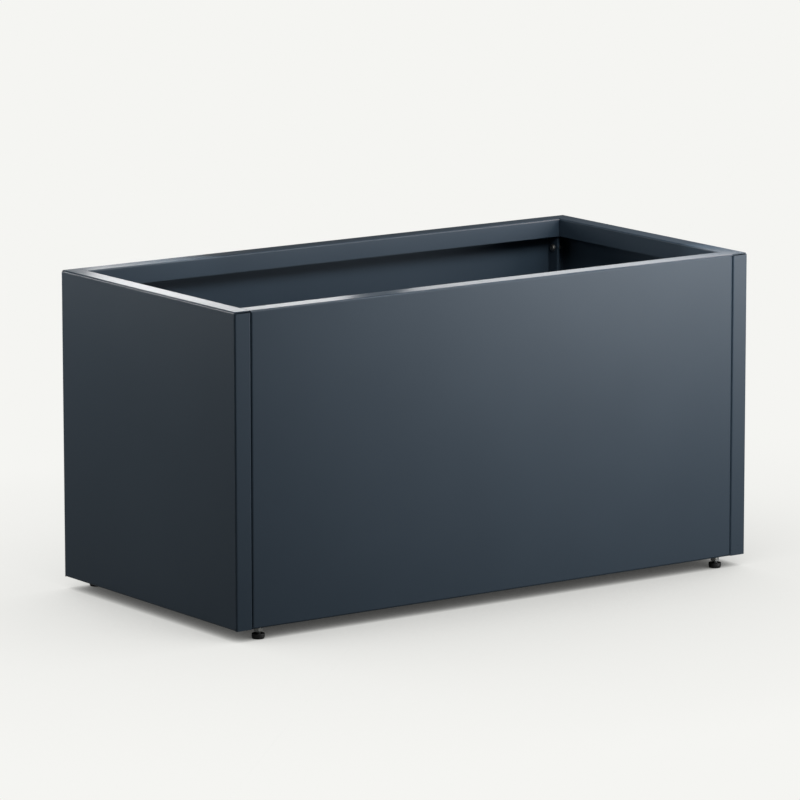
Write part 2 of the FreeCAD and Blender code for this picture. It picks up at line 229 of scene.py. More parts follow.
# %% Rim lamps
soft_lamp("rim_lamp_left", place=(-0.224, 0.21, 0.62), aim=(-0.513, -0.201, 0.53),
          size=(0.42, 0.12), watts=0.9)
soft_lamp("rim_lamp_right", place=(0.321, -0.031, 0.61), aim=(0.091, -0.361, 0.53),
          size=(0.56, 0.12), watts=0.8)
print("lamps in all", len(bpy.data.lights))


# %% [markdown]
# The walls and the tray are powder coated: dry polyester powder is sprayed on the steel and baked to a film.
# Such a film is even in colour, but not quite: it is a shade deeper where the spray gun laid it on thicker.
# Its skin is satin, with a faint waviness called orange peel, so lamps show in it as soft patches.
# A flat colour would look like plastic, so three noises of different sizes steer colour, skin and gloss.

# %% Powder coat
COAT_THICK = "#2f3c48"
COAT_THIN = "#35424e"
GUN_PASS = 180.0
PEEL_WAVE = 5.0
PEEL_HEIGHT = 0.03
COAT_GRAIN = 0.8
MIX_A, MIX_B, MIX_COLOUR = 6, 7, 2

powder_coat = bpy.data.materials.new("polyester_powder_coat_sprayed_and_baked")
tree = new_tree(powder_coat)
place = add_node(tree, "ShaderNodeTexCoord").outputs["Object"]
# Broad, barely seen patches keep the large panels from looking printed.
passes = add_node(tree, "ShaderNodeTexNoise", inputs={"Scale": 1 / (GUN_PASS * MM), "Detail": 2.0},
                  links={"Vector": place})
tone = add_node(tree, "ShaderNodeMix", {"data_type": "RGBA"},
                inputs={MIX_A: hex_colour(COAT_THICK), MIX_B: hex_colour(COAT_THIN)},
                links={0: passes.outputs["Fac"]})
# The orange peel breaks the edges of reflections into small ripples.
peel = add_node(tree, "ShaderNodeTexNoise", inputs={"Scale": 1 / (PEEL_WAVE * MM), "Detail": 1.0},
                links={"Vector": place})
skin = add_node(tree, "ShaderNodeBump", inputs={"Strength": 0.4, "Distance": PEEL_HEIGHT * MM},
                links={"Height": peel.outputs["Fac"]})
# The film's real grain is under 0.1 mm. It is drawn coarser, so that close views show a satin sparkle.
grain = add_node(tree, "ShaderNodeTexNoise", inputs={"Scale": 1 / (COAT_GRAIN * MM), "Detail": 2.0},
                 links={"Vector": place})
gloss = add_node(tree, "ShaderNodeMapRange",
                 inputs={"From Min": 0.3, "From Max": 0.7, "To Min": 0.33, "To Max": 0.43},
                 links={"Value": grain.outputs["Fac"]})
# Matting agents in the powder weaken its mirror light, which a lower index of refraction stands for.
film = add_node(tree, "ShaderNodeBsdfPrincipled", inputs={"IOR": 1.28},
                links={"Base Color": tone.outputs[MIX_COLOUR], "Roughness": gloss.outputs["Result"],
                       "Normal": skin.outputs["Normal"]})
add_node(tree, "ShaderNodeOutputMaterial", links={"Surface": film.outputs[0]})
print("powder coat between", COAT_THICK, "and", COAT_THIN)


# %% [markdown]
# The two channels under the tray are folded from sheet that was drawn through molten zinc.
# The zinc freezes into flat crystals, called spangle, and each crystal throws the light its own way.
# A Voronoi pattern splits the sheet into such cells. Each cell's random colour picks its grey and its gloss.

# %% Galvanised sheet
SPANGLE_DARK = "#a3a7a9"
SPANGLE_LIGHT = "#c3c6c7"
SPANGLE = 12.0
FROST = 0.7
FROST_DEPTH = 0.02

galvanised = bpy.data.materials.new("steel_sheet_hot_dip_galvanised")
tree = new_tree(galvanised)
place = add_node(tree, "ShaderNodeTexCoord").outputs["Object"]
# Crystals of about a thumbnail's width give the patchwork by which the eye knows zinc-dipped steel.
spangle = add_node(tree, "ShaderNodeTexVoronoi", inputs={"Scale": 1 / (SPANGLE * MM)},
                   links={"Vector": place})
cell = add_node(tree, "ShaderNodeSeparateColor", links={"Color": spangle.outputs["Color"]})
tone = add_node(tree, "ShaderNodeMix", {"data_type": "RGBA"},
                inputs={MIX_A: hex_colour(SPANGLE_DARK), MIX_B: hex_colour(SPANGLE_LIGHT)},
                links={0: cell.outputs["Red"]})
gloss = add_node(tree, "ShaderNodeMapRange", inputs={"To Min": 0.34, "To Max": 0.56},
                 links={"Value": cell.outputs["Green"]})
# A fine frost inside the crystals takes away the look of polished metal.
frost = add_node(tree, "ShaderNodeTexNoise", inputs={"Scale": 1 / (FROST * MM), "Detail": 3.0},
                 links={"Vector": place})
skin = add_node(tree, "ShaderNodeBump", inputs={"Strength": 0.25, "Distance": FROST_DEPTH * MM},
                links={"Height": frost.outputs["Fac"]})
zinc_skin = add_node(tree, "ShaderNodeBsdfPrincipled", inputs={"Metallic": 1.0},
                     links={"Base Color": tone.outputs[MIX_COLOUR], "Roughness": gloss.outputs["Result"],
                            "Normal": skin.outputs["Normal"]})
add_node(tree, "ShaderNodeOutputMaterial", links={"Surface": zinc_skin.outputs[0]})
print("spangle of", SPANGLE, "mm")


# %% [markdown]
# Screws, nuts and studs are steel, plated with zinc in a bath and passivated.
# The thin plating is bright but not a mirror, and the passivation tints it from bluish to straw.
# Two noises do this: a slow one for the tint and a quicker one for the small dull spots.

# %% Zinc plate
PLATE_BLUE = "#7e848c"
PLATE_STRAW = "#8b897f"
TINT = 6.0
DULL_SPOT = 1.5
PLATE_GRAIN = 0.4
PLATE_DEPTH = 0.01

zinc_plate = bpy.data.materials.new("steel_zinc_electroplated_and_passivated")
tree = new_tree(zinc_plate)
place = add_node(tree, "ShaderNodeTexCoord").outputs["Object"]
# The drift of tint across a screw head tells plated steel from stainless.
tint = add_node(tree, "ShaderNodeTexNoise", inputs={"Scale": 1 / (TINT * MM), "Detail": 2.0},
                links={"Vector": place})
tone = add_node(tree, "ShaderNodeMix", {"data_type": "RGBA"},
                inputs={MIX_A: hex_colour(PLATE_BLUE), MIX_B: hex_colour(PLATE_STRAW)},
                links={0: tint.outputs["Fac"]})
# Dull spots make the highlights uneven, as handling and tumbling do.
spots = add_node(tree, "ShaderNodeTexNoise", inputs={"Scale": 1 / (DULL_SPOT * MM), "Detail": 3.0},
                 links={"Vector": place})
gloss = add_node(tree, "ShaderNodeMapRange",
                 inputs={"From Min": 0.3, "From Max": 0.7, "To Min": 0.38, "To Max": 0.55},
                 links={"Value": spots.outputs["Fac"]})
# The plating's grain is far finer than this, and is drawn coarser so that a close view shows it.
grain = add_node(tree, "ShaderNodeTexNoise", inputs={"Scale": 1 / (PLATE_GRAIN * MM)},
                 links={"Vector": place})
skin = add_node(tree, "ShaderNodeBump", inputs={"Strength": 0.2, "Distance": PLATE_DEPTH * MM},
                links={"Height": grain.outputs["Fac"]})
plating = add_node(tree, "ShaderNodeBsdfPrincipled", inputs={"Metallic": 1.0},
                   links={"Base Color": tone.outputs[MIX_COLOUR], "Roughness": gloss.outputs["Result"],
                          "Normal": skin.outputs["Normal"]})
add_node(tree, "ShaderNodeOutputMaterial", links={"Surface": plating.outputs[0]})
print("zinc plate between", PLATE_BLUE, "and", PLATE_STRAW)


# %% [markdown]
# The pads of the feet are black nylon, injected into a mould whose walls were eroded to a fine grain.
# The grain makes the black matt, and the rim that stands on the ground is scuffed grey by grit.
# The scuff follows the height above the ground: it fades out two millimetres up, and a noise breaks it up.

# %% Moulded nylon
NYLON_BLACK = "#141517"
NYLON_SCUFF = "#37393b"
MOULD_GRAIN = 0.5
MOULD_DEPTH = 0.05
SCUFF_SPOT = 1.2
SCUFF_HEIGHT = 2.0

nylon = bpy.data.materials.new("nylon_injection_moulded_grained")
tree = new_tree(nylon)
place = add_node(tree, "ShaderNodeTexCoord").outputs["Object"]
# The mould's grain is drawn at half a millimetre, coarser than in truth, so the pads don't look polished.
grain = add_node(tree, "ShaderNodeTexNoise", inputs={"Scale": 1 / (MOULD_GRAIN * MM), "Detail": 2.0},
                 links={"Vector": place})
skin = add_node(tree, "ShaderNodeBump", inputs={"Strength": 0.35, "Distance": MOULD_DEPTH * MM},
                links={"Height": grain.outputs["Fac"]})
# Grey scuffs near the ground show that the pads carry the weight.
axes = add_node(tree, "ShaderNodeSeparateXYZ", links={"Vector": place})
low = add_node(tree, "ShaderNodeMapRange",
               inputs={"From Max": SCUFF_HEIGHT * MM, "To Min": 1.0, "To Max": 0.0},
               links={"Value": axes.outputs["Z"]})
spots = add_node(tree, "ShaderNodeTexNoise", inputs={"Scale": 1 / (SCUFF_SPOT * MM), "Detail": 3.0},
                 links={"Vector": place})
scuff = add_node(tree, "ShaderNodeMath", {"operation": "MULTIPLY"},
                 links={0: low.outputs["Result"], 1: spots.outputs["Fac"]})
tone = add_node(tree, "ShaderNodeMix", {"data_type": "RGBA"},
                inputs={MIX_A: hex_colour(NYLON_BLACK), MIX_B: hex_colour(NYLON_SCUFF)},
                links={0: scuff.outputs[0]})
gloss = add_node(tree, "ShaderNodeMapRange", inputs={"To Min": 0.5, "To Max": 0.75},
                 links={"Value": scuff.outputs[0]})
plastic = add_node(tree, "ShaderNodeBsdfPrincipled",
                   links={"Base Color": tone.outputs[MIX_COLOUR], "Roughness": gloss.outputs["Result"],
                          "Normal": skin.outputs["Normal"]})
add_node(tree, "ShaderNodeOutputMaterial", links={"Surface": plastic.outputs[0]})
print("nylon", NYLON_BLACK, "scuffed below", SCUFF_HEIGHT, "mm")


# %% [markdown]
# The CAD model names a finish slot for each node. Each slot now gets its material.

# %% Finishes for the slots
finishes = {"powder_coat": powder_coat, "galvanised_sheet": galvanised,
            "zinc_plate": zinc_plate, "black_nylon": nylon}
slots = {row["node"]: row["material_slot"] for row in frame["record"]["subparts"]}
for name, slot in slots.items():
    node = frame["nodes"][name]
    node.data.materials.clear()
    node.data.materials.append(finishes[slot])
print("nodes with a finish", len(slots))


# %% [markdown]
# The planter is folded from 2 mm steel sheet, so every wall is a strip with rounded folds and thin cut edges.
# A wall could be a box with its middle cut out, but then its folds would have to be made by hand.
# Here each wall starts as a flat sheet, its edges are drawn out as flanges, and only then does it get thick.
# The first tools lay out a sheet and pick its edges and faces by their place. They work in millimetres.

# %% Tools for laying out sheet
QUARTER = math.pi / 2
SAME_PLACE = 0.05
SAME_POINT = 1e-6


def mm(x, y, z):
    """A place or a step given in millimetres."""
    return Vector((x, y, z)) * MM


def near(value, target):
    """True if two lengths in millimetres are the same."""
    return abs(value - target) < SAME_PLACE


def flat_sheet(name, centre, turn, width, height):
    """A flat rectangle at its size and place, open in edit mode."""
    bpy.ops.object.select_all(action="DESELECT")
    bpy.ops.mesh.primitive_plane_add(size=1, location=mm(*centre), rotation=turn)
    piece = bpy.context.object
    piece.name = name
    piece.scale = (width * MM, height * MM, 1)
    bpy.ops.object.transform_apply(location=True, rotation=True, scale=True)
    bpy.ops.object.mode_set(mode="EDIT")
    return piece


def pick_edges(piece, passes):
    """Selects each edge that lies, with both its ends, where a test of the place passes."""
    bpy.ops.mesh.select_mode(type="EDGE")
    bpy.ops.mesh.select_all(action="DESELECT")
    mesh = bmesh.from_edit_mesh(piece.data)
    for edge in mesh.edges:
        if all(passes(*(end.co / MM)) for end in edge.verts):
            edge.select_set(True)
    bmesh.update_edit_mesh(piece.data)


def pick_faces(piece, passes):
    """Selects each face whose middle lies where a test of the place passes."""
    bpy.ops.mesh.select_mode(type="FACE")
    bpy.ops.mesh.select_all(action="DESELECT")
    mesh = bmesh.from_edit_mesh(piece.data)
    for face in mesh.faces:
        if passes(*(face.calc_center_median() / MM)):
            face.select_set(True)
    bmesh.update_edit_mesh(piece.data)


def score(place, normal):
    """Draws a line of new edges right across the sheet, where a plane cuts it."""
    bpy.ops.mesh.select_all(action="SELECT")
    bpy.ops.mesh.bisect(plane_co=mm(*place), plane_no=normal)


print("sheets are laid out in millimetres")


# %% [markdown]
# A few sizes drive all sheets: the outside of the planter, the sheet, the fold, the rim and the gaps.
# Coated faces that are screwed together lie a paint gap apart, and rims that butt together a joint gap.

# %% Driving sizes
HALF_LENGTH = 500.0
HALF_WIDTH = 250.0
BOTTOM = 19.0
TOP = 519.0
MIDDLE = (BOTTOM + TOP) / 2
SHEET = 2.0
FOLD_RADIUS = 3.0
FOLD_STEPS = 6
FOLD_ROOM = 0.1
RELIEF = 0.5
PAINT_GAP = 0.2
JOINT_GAP = 0.6
RIM_WIDTH = 32.0
RIM_DROP = 30.0
SEAM = HALF_LENGTH - RIM_WIDTH + SHEET
SEAM_FLANGE = 27.0
print("planter", 2 * HALF_LENGTH, "x", 2 * HALF_WIDTH, "mm, seams at", SEAM, "mm")


# %% [markdown]
# The front panel is one long strip: a bottom flange for the feet, the face, the rim and a lip turned down.
# At each end a narrow flange turns in behind the seam. Slits at its ends let the three folds pass each other.
# The slits are cut while the sheet is still flat, as a laser would cut the blank.

# %% Front panel blank
LONG_REACH = SEAM - JOINT_GAP / 2
SEAM_FACE = SEAM - PAINT_GAP / 2
SEAM_ROOT = SEAM_FACE - FOLD_RADIUS - RELIEF
SLIT_START = FOLD_RADIUS + FOLD_ROOM
SLIT_END = SLIT_START + RELIEF

front = flat_sheet("front_panel_folded", (0, -HALF_WIDTH, MIDDLE), (QUARTER, 0, 0),
                   2 * LONG_REACH, TOP - BOTTOM)
for side in (-1, 1):
    score((side * SEAM_ROOT, 0, 0), (1, 0, 0))
for low, high in ((BOTTOM + SLIT_START, BOTTOM + SLIT_END), (TOP - SLIT_END, TOP - SLIT_START)):
    score((0, 0, low), (0, 0, 1))
    score((0, 0, high), (0, 0, 1))
    pick_faces(front, lambda x, y, z: abs(x) > SEAM_ROOT and low < z < high)
    bpy.ops.mesh.delete(type="FACE")
print("front blank", 2 * LONG_REACH, "x", TOP - BOTTOM, "mm with four slits")


# %% [markdown]
# Each flange is drawn out of an edge by extrusion, and the line that it leaves behind becomes the fold.
# A real fold is an arc, so those lines are bevelled to the radius of the press brake's tool, in six steps.

# %% Front panel flanges and folds
FOOT_FLANGE = 30.0


def draw_out(x, y, z):
    """Extrudes the selected edges, or the selected point, by a step."""
    bpy.ops.mesh.extrude_region_move(TRANSFORM_OT_translate={"value": mm(x, y, z)})


def round_fold(piece, passes):
    """Rounds the fold line whose edges pass the test."""
    pick_edges(piece, passes)
    bpy.ops.mesh.bevel(offset=FOLD_RADIUS * MM, segments=FOLD_STEPS, affect="EDGES", clamp_overlap=False)


for side in (-1, 1):
    pick_edges(front, lambda x, y, z: (near(x, side * LONG_REACH)
                                       and BOTTOM + SLIT_START < z < TOP - SLIT_START))
    bpy.ops.transform.translate(value=mm(side * (SEAM_FACE - LONG_REACH), 0, 0))
    draw_out(0, SEAM_FLANGE, 0)
pick_edges(front, lambda x, y, z: near(z, TOP))
draw_out(0, RIM_WIDTH, 0)
draw_out(0, 0, -RIM_DROP)
pick_edges(front, lambda x, y, z: near(z, BOTTOM))
draw_out(0, FOOT_FLANGE, 0)
for height in (BOTTOM, TOP):
    round_fold(front, lambda x, y, z: near(y, -HALF_WIDTH) and near(z, height))
round_fold(front, lambda x, y, z: near(y, RIM_WIDTH - HALF_WIDTH) and near(z, TOP))
for side in (-1, 1):
    round_fold(front, lambda x, y, z: near(x, side * SEAM_FACE) and near(y, -HALF_WIDTH))
print("folds of", FOLD_RADIUS, "mm radius in", FOLD_STEPS, "steps")


# %% [markdown]
# The folded sheet is still as thin as paper. Solidify thickens it inwards, so the outside keeps its size.
# Cut steel is never quite sharp, so a fine bevel rounds its edges, and they catch a thin line of light.
# Holes are drilled last with round bars, which leaves them truly round after folding.

# %% Tools for thickness and holes
EDGE_ROUND = 0.25
EDGE_ANGLE = math.radians(60)
HOLE_STEPS = 48
DRILL_LENGTH = 5 * SHEET


def make_active(piece):
    """Selects one piece alone and makes it the active one."""
    bpy.ops.object.select_all(action="DESELECT")
    piece.select_set(True)
    bpy.context.view_layer.objects.active = piece


def use_modifier(piece, kind, **settings):
    """Adds a modifier to a piece with its settings and applies it."""
    make_active(piece)
    modifier = piece.modifiers.new(kind.lower(), kind)
    for name, value in settings.items():
        setattr(modifier, name, value)
    bpy.ops.object.modifier_apply(modifier=modifier.name)


def give_thickness(piece):
    """Leaves edit mode, thickens the sheet inwards and rounds its cut edges a little."""
    bpy.ops.mesh.select_all(action="SELECT")
    bpy.ops.mesh.remove_doubles(threshold=SAME_POINT)
    bpy.ops.object.mode_set(mode="OBJECT")
    use_modifier(piece, "SOLIDIFY", thickness=SHEET * MM, offset=-1, use_even_offset=True)
    use_modifier(piece, "BEVEL", width=EDGE_ROUND * MM, segments=2, limit_method="ANGLE",
                 angle_limit=EDGE_ANGLE)


def cut_with(piece, tool, operation="DIFFERENCE"):
    """Cuts a piece with a tool, or joins them or keeps what they share, and throws the tool away."""
    use_modifier(piece, "BOOLEAN", object=tool, operation=operation, solver="EXACT")
    bpy.data.objects.remove(tool)


def joined(parts, name):
    """Joins several objects into one."""
    make_active(parts[0])
    for part in parts:
        part.select_set(True)
    bpy.ops.object.join()
    bpy.context.object.name = name
    return bpy.context.object


def drill(centres, turn, radius):
    """A tool of round bars, one for each hole, longer than the sheet is thick."""
    bars = []
    for centre in centres:
        bpy.ops.mesh.primitive_cylinder_add(vertices=HOLE_STEPS, radius=radius * MM, depth=DRILL_LENGTH * MM,
                                            location=mm(*centre), rotation=turn)
        bars.append(bpy.context.object)
    return joined(bars, "drill")


print("sheet", SHEET, "mm thick, cut edges rounded by", EDGE_ROUND, "mm")


# %% [markdown]
# A finished piece still has to look smooth where it is curved and flat where it is flat.
# Weighted normals do that: the large flat faces decide, and the fine bevels blend between them.
# The last tools copy a piece with a mesh of its own, put it in place, and tell it which CAD node
# it stands for and which body it moves with.

# %% Tools for finishing pieces
SMOOTH_ANGLE = math.radians(35)


def smooth(piece):
    """Smooths the curved faces, and keeps the flat ones flat right up to their rounded edges."""
    make_active(piece)
    bpy.ops.object.shade_smooth_by_angle(angle=SMOOTH_ANGLE)
    use_modifier(piece, "WEIGHTED_NORMAL", weight=100, keep_sharp=True)


def copied(piece, name):
    """A copy of a piece with a mesh of its own."""
    make_active(piece)
    bpy.ops.object.duplicate(linked=False)
    bpy.context.object.name = name
    return bpy.context.object


def put(piece, place=(0, 0, 0), turn=(0, 0, 0)):
    """Turns and moves a piece, and puts its place into its mesh."""
    make_active(piece)
    piece.rotation_euler = turn
    piece.location = mm(*place)
    bpy.ops.object.transform_apply(location=True, rotation=True, scale=True)
    return piece


def dress(piece, node, body):
    """Gives a piece its node's finish, and lets it stand for that node on its body."""
    slot = slots[node]
    piece.data.materials.clear()
    piece.data.materials.append(finishes[slot])
    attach(piece, body)
    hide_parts(node)


def size_of(piece):
    """A piece's name, its size in millimetres and its number of faces, for printing."""
    size = " x ".join(f"{length / MM:.1f}" for length in piece.dimensions)
    return f"{piece.name}: {size} mm, {len(piece.data.polygons)} faces"


print("finished so far:", size_of(front))


# %% [markdown]
# The front panel gets three screw holes in each seam flange, and two holes for feet in its bottom flange.
# The rear panel is the same piece turned round.

# %% Front and rear panels
SCREW_HEIGHTS = (73.0, 270.0, 467.0)
FASTENER_Y = HALF_WIDTH - (FOLD_RADIUS + SEAM_FLANGE) / 2
SCREW_HOLE = 3.3
FOOT_X = 450.0
FOOT_HOLE = 5.55

give_thickness(front)
seams = [(side * SEAM_FACE, -FASTENER_Y, z) for side in (-1, 1) for z in SCREW_HEIGHTS]
cut_with(front, drill(seams, (0, QUARTER, 0), SCREW_HOLE))
feet = [(side * FOOT_X, -FASTENER_Y, BOTTOM) for side in (-1, 1)]
cut_with(front, drill(feet, (0, 0, 0), FOOT_HOLE))
smooth(front)
rear = put(copied(front, "rear_panel_folded"), turn=(0, 0, math.pi))
dress(front, "front_panel", "planter")
dress(rear, "rear_panel", "planter")
print(size_of(front))


# %% [markdown]
# Each end panel is folded from one blank as well. Its sides come round both corners as narrow wraps,
# and turn in again to lie against the flanges of the long panels.
# The corners of the blank are notched first, so that the wraps, the rim and the bottom flange fold freely.

# %% End panel blank
WRAP_TOP = TOP - FOLD_RADIUS - FOLD_ROOM
RIM_HALF = HALF_WIDTH - FOLD_RADIUS - FOLD_ROOM
FLANGE_HALF = RIM_HALF - RELIEF

left = flat_sheet("left_end_panel_folded", (-HALF_LENGTH, 0, MIDDLE), (QUARTER, 0, -QUARTER),
                  2 * HALF_WIDTH, TOP - BOTTOM)
for reach in (-RIM_HALF, -FLANGE_HALF, FLANGE_HALF, RIM_HALF):
    score((0, reach, 0), (0, 1, 0))
score((0, 0, WRAP_TOP), (0, 0, 1))
score((0, 0, BOTTOM + SLIT_END), (0, 0, 1))
pick_faces(left, lambda x, y, z: abs(y) > RIM_HALF and z > WRAP_TOP)
bpy.ops.mesh.delete(type="FACE")
pick_faces(left, lambda x, y, z: FLANGE_HALF < abs(y) < RIM_HALF and z < BOTTOM + SLIT_END)
bpy.ops.mesh.delete(type="FACE")
print("end blank", 2 * HALF_WIDTH, "x", TOP - BOTTOM, "mm with notched corners")


# %% [markdown]
# The wraps, the seam flanges, the rim with its lip and the bottom flange are drawn out one after the other.
# Then every fold is rounded, the upright ones before the level ones, so that no bevel runs into another.

# %% End panel flanges and folds
WRAP_FACE = SEAM + PAINT_GAP / 2
END_FLANGE = HALF_LENGTH - SEAM - PAINT_GAP / 2 - SHEET - RELIEF

for side in (-1, 1):
    pick_edges(left, lambda x, y, z: near(y, side * HALF_WIDTH))
    draw_out(HALF_LENGTH - WRAP_FACE, 0, 0)
    draw_out(0, -side * SEAM_FLANGE, 0)
pick_edges(left, lambda x, y, z: near(z, TOP))
draw_out(RIM_WIDTH, 0, 0)
draw_out(0, 0, -RIM_DROP)
pick_edges(left, lambda x, y, z: near(z, BOTTOM) and near(x, -HALF_LENGTH) and abs(y) < RIM_HALF)
draw_out(END_FLANGE, 0, 0)
for side in (-1, 1):
    for reach in (HALF_LENGTH, WRAP_FACE):
        round_fold(left, lambda x, y, z: near(x, -reach) and near(y, side * HALF_WIDTH))
for reach in (HALF_LENGTH, HALF_LENGTH - RIM_WIDTH):
    round_fold(left, lambda x, y, z: near(x, -reach) and near(z, TOP))
round_fold(left, lambda x, y, z: near(x, -HALF_LENGTH) and near(z, BOTTOM) and abs(y) < RIM_HALF)
print("wraps", round(HALF_LENGTH - WRAP_FACE, 1), "mm wide")


# %% [markdown]
# The rim of the end covers both corners, but the lip below it stops short there, where the long rims arrive.
# The rim was made along the whole end, so its two inner corners are now cut back along straight lines.

# %% End panel rim corners
LIP_HALF = HALF_WIDTH - RIM_WIDTH - JOINT_GAP
RIM_CUT = SEAM + JOINT_GAP / 2


def on_the_rim(x, y, z):
    """True on the rim and its lip, past the fold at the face."""
    return x > -HALF_LENGTH + FOLD_RADIUS and z > TOP - RIM_DROP and abs(y) < RIM_HALF


for side in (-1, 1):
    pick_faces(left, on_the_rim)
    bpy.ops.mesh.bisect(plane_co=mm(0, side * LIP_HALF, 0), plane_no=(0, 1, 0))
pick_faces(left, lambda x, y, z: on_the_rim(x, y, z) and abs(y) > LIP_HALF)
bpy.ops.mesh.bisect(plane_co=mm(-RIM_CUT, 0, 0), plane_no=(1, 0, 0))
pick_faces(left, lambda x, y, z: on_the_rim(x, y, z) and abs(y) > LIP_HALF and x > -RIM_CUT)
bpy.ops.mesh.delete(type="FACE")
print("lip", 2 * LIP_HALF, "mm long under a rim of", 2 * RIM_HALF, "mm")


# %% [markdown]
# The end panel gets its thickness, the screw holes of both seams and its shading.
# The right end panel is its copy, turned round.

# %% End panels
give_thickness(left)
seams = [(-WRAP_FACE, side * FASTENER_Y, z) for side in (-1, 1) for z in SCREW_HEIGHTS]
cut_with(left, drill(seams, (0, QUARTER, 0), SCREW_HOLE))
smooth(left)
right = put(copied(left, "right_end_panel_folded"), turn=(0, 0, math.pi))
dress(left, "left_end_panel", "planter")
dress(right, "right_end_panel", "planter")
print(size_of(left))


# %% [markdown]
# The base is a shallow pan turned upside down, which rests on the bottom flanges inside the walls.
# Its corners are notched to clear the bolted seams.
# Six holes drain it, and four more let a key reach the studs of the feet from above.

# %% Base tray
TRAY_HEIGHT = 30.0
TRAY_LOW = BOTTOM + SHEET
TRAY_TOP = TRAY_LOW + TRAY_HEIGHT
TRAY_GAP = 2.0
TRAY_X = HALF_LENGTH - SHEET - TRAY_GAP
TRAY_Y = HALF_WIDTH - SHEET - TRAY_GAP
NOTCH_X = SEAM_FACE - SHEET - TRAY_GAP
NOTCH_Y = HALF_WIDTH - SEAM_FLANGE - TRAY_GAP
DRAIN_X = 320.0
DRAIN_Y = 110.0
DRAIN_HOLE = 6.0
KEY_HOLE = 7.0

tray = flat_sheet("base_tray_folded", (0, 0, TRAY_TOP), (0, 0, 0), 2 * TRAY_X, 2 * TRAY_Y)
for side in (-1, 1):
    score((side * NOTCH_X, 0, 0), (1, 0, 0))
    score((0, side * NOTCH_Y, 0), (0, 1, 0))
pick_faces(tray, lambda x, y, z: abs(x) > NOTCH_X and abs(y) > NOTCH_Y)
bpy.ops.mesh.delete(type="FACE")
for reach, axis in ((TRAY_X, 0), (TRAY_Y, 1)):
    for side in (-1, 1):
        pick_edges(tray, lambda *place: near(place[axis], side * reach))
        draw_out(0, 0, -TRAY_HEIGHT)
        round_fold(tray, lambda *place: near(place[axis], side * reach) and near(place[2], TRAY_TOP))
give_thickness(tray)
drains = [(x, side * DRAIN_Y, TRAY_TOP) for x in (-DRAIN_X, 0, DRAIN_X) for side in (-1, 1)]
cut_with(tray, drill(drains, (0, 0, 0), DRAIN_HOLE))
keys = [(side * FOOT_X, end * FASTENER_Y, TRAY_TOP) for side in (-1, 1) for end in (-1, 1)]
cut_with(tray, drill(keys, (0, 0, 0), KEY_HOLE))
smooth(tray)
dress(tray, "base_tray", "planter")
print(size_of(tray))


# %% [markdown]
# Two channels lie under the tray, from front to rear, and keep it from sagging under wet soil.
# A channel is the simplest folded piece: a strip with both long edges turned down.

# %% Bearers
BEARER_X = 160.0
BEARER_TOP = TRAY_TOP - SHEET
BEARER_HALF = 20.0
BEARER_REACH = TRAY_Y - SHEET - TRAY_GAP

for side, name in ((-1, "base_bearer_left"), (1, "base_bearer_right")):
    bearer = flat_sheet(name + "_channel", (side * BEARER_X, 0, BEARER_TOP), (0, 0, 0),
                        2 * BEARER_HALF, 2 * BEARER_REACH)
    for edge in (-1, 1):
        reach = side * BEARER_X + edge * BEARER_HALF
        pick_edges(bearer, lambda x, y, z: near(x, reach))
        draw_out(0, 0, TRAY_LOW - BEARER_TOP)
        round_fold(bearer, lambda x, y, z: near(x, reach) and near(z, BEARER_TOP))
    give_thickness(bearer)
    smooth(bearer)
    dress(bearer, name, "planter")
    print(size_of(bearer))


# %% [markdown]
# The fasteners and feet are turned or moulded pieces, so their shapes are profiles spun round an axis.
# A profile is drawn as a line of points, one extrusion after another, and then the spin tool sweeps it round.
# Only the corners of a profile are written down: the radius, the height and, at a rounded one, the rounding.

# %% Tools for turned pieces
TURN_STEPS = 64
ROUND_STEPS = 5
UP = (0, 0, 1)


def rounded(corners):
    """The points of a profile, with an arc at each corner that has a rounding after its radius and height."""
    points = []
    for index, (radius, height, *rounding) in enumerate(corners):
        if not rounding:
            points.append((radius, height))
            continue
        corner = Vector((radius, height))
        back, ahead = ((Vector(corners[index + step][:2]) - corner).normalized() for step in (-1, 1))
        half = back.angle(ahead) / 2
        reach = rounding[0] / math.tan(half)
        centre = corner + (back + ahead).normalized() * rounding[0] / math.sin(half)
        first, last = corner + back * reach - centre, corner + ahead * reach - centre
        for step in range(ROUND_STEPS + 1):
            arm = first.lerp(last, step / ROUND_STEPS).normalized() * rounding[0]
            points.append(tuple(centre + arm))
    return points


def drawn_line(name, points):
    """A line through (radius, height) points, open in edit mode."""
    piece = flat_sheet(name, (0, 0, 0), (0, 0, 0), 1, 1)
    bpy.ops.mesh.select_mode(type="VERT")
    bpy.ops.mesh.select_all(action="SELECT")
    bpy.ops.mesh.merge(type="CENTER")
    bpy.ops.mesh.select_all(action="SELECT")
    radius, height = points[0]
    bpy.ops.transform.translate(value=mm(radius, 0, height))
    for next_radius, next_height in points[1:]:
        draw_out(next_radius - radius, 0, next_height - height)
        radius, height = next_radius, next_height
    bpy.ops.mesh.select_all(action="SELECT")
    return piece


def close_up():
    """Merges doubled points, turns the faces outwards and leaves edit mode."""
    bpy.ops.mesh.select_all(action="SELECT")
    bpy.ops.mesh.remove_doubles(threshold=SAME_POINT)
    bpy.ops.mesh.normals_make_consistent(inside=False)
    bpy.ops.object.mode_set(mode="OBJECT")


def turned_piece(name, corners):
    """A piece turned about Z from the corners of its profile."""
    piece = drawn_line(name, rounded(corners))
    bpy.ops.mesh.spin(steps=TURN_STEPS, angle=2 * math.pi, center=(0, 0, 0), axis=UP)
    close_up()
    return piece


print("turned pieces get", TURN_STEPS, "steps")


# %% [markdown]
# A screw thread is a profile with a rise: the outline of one turn climbs by one pitch each time round.
# The screw modifier sweeps it into a long helix. Two level cuts trim the ends square and close them,
# and a turned outline with a cone at its top tapers the tip, so that the screw finds its nut.
# A bump map could only hint at a thread. Real flanks show at the edges of the studs and catch the light.

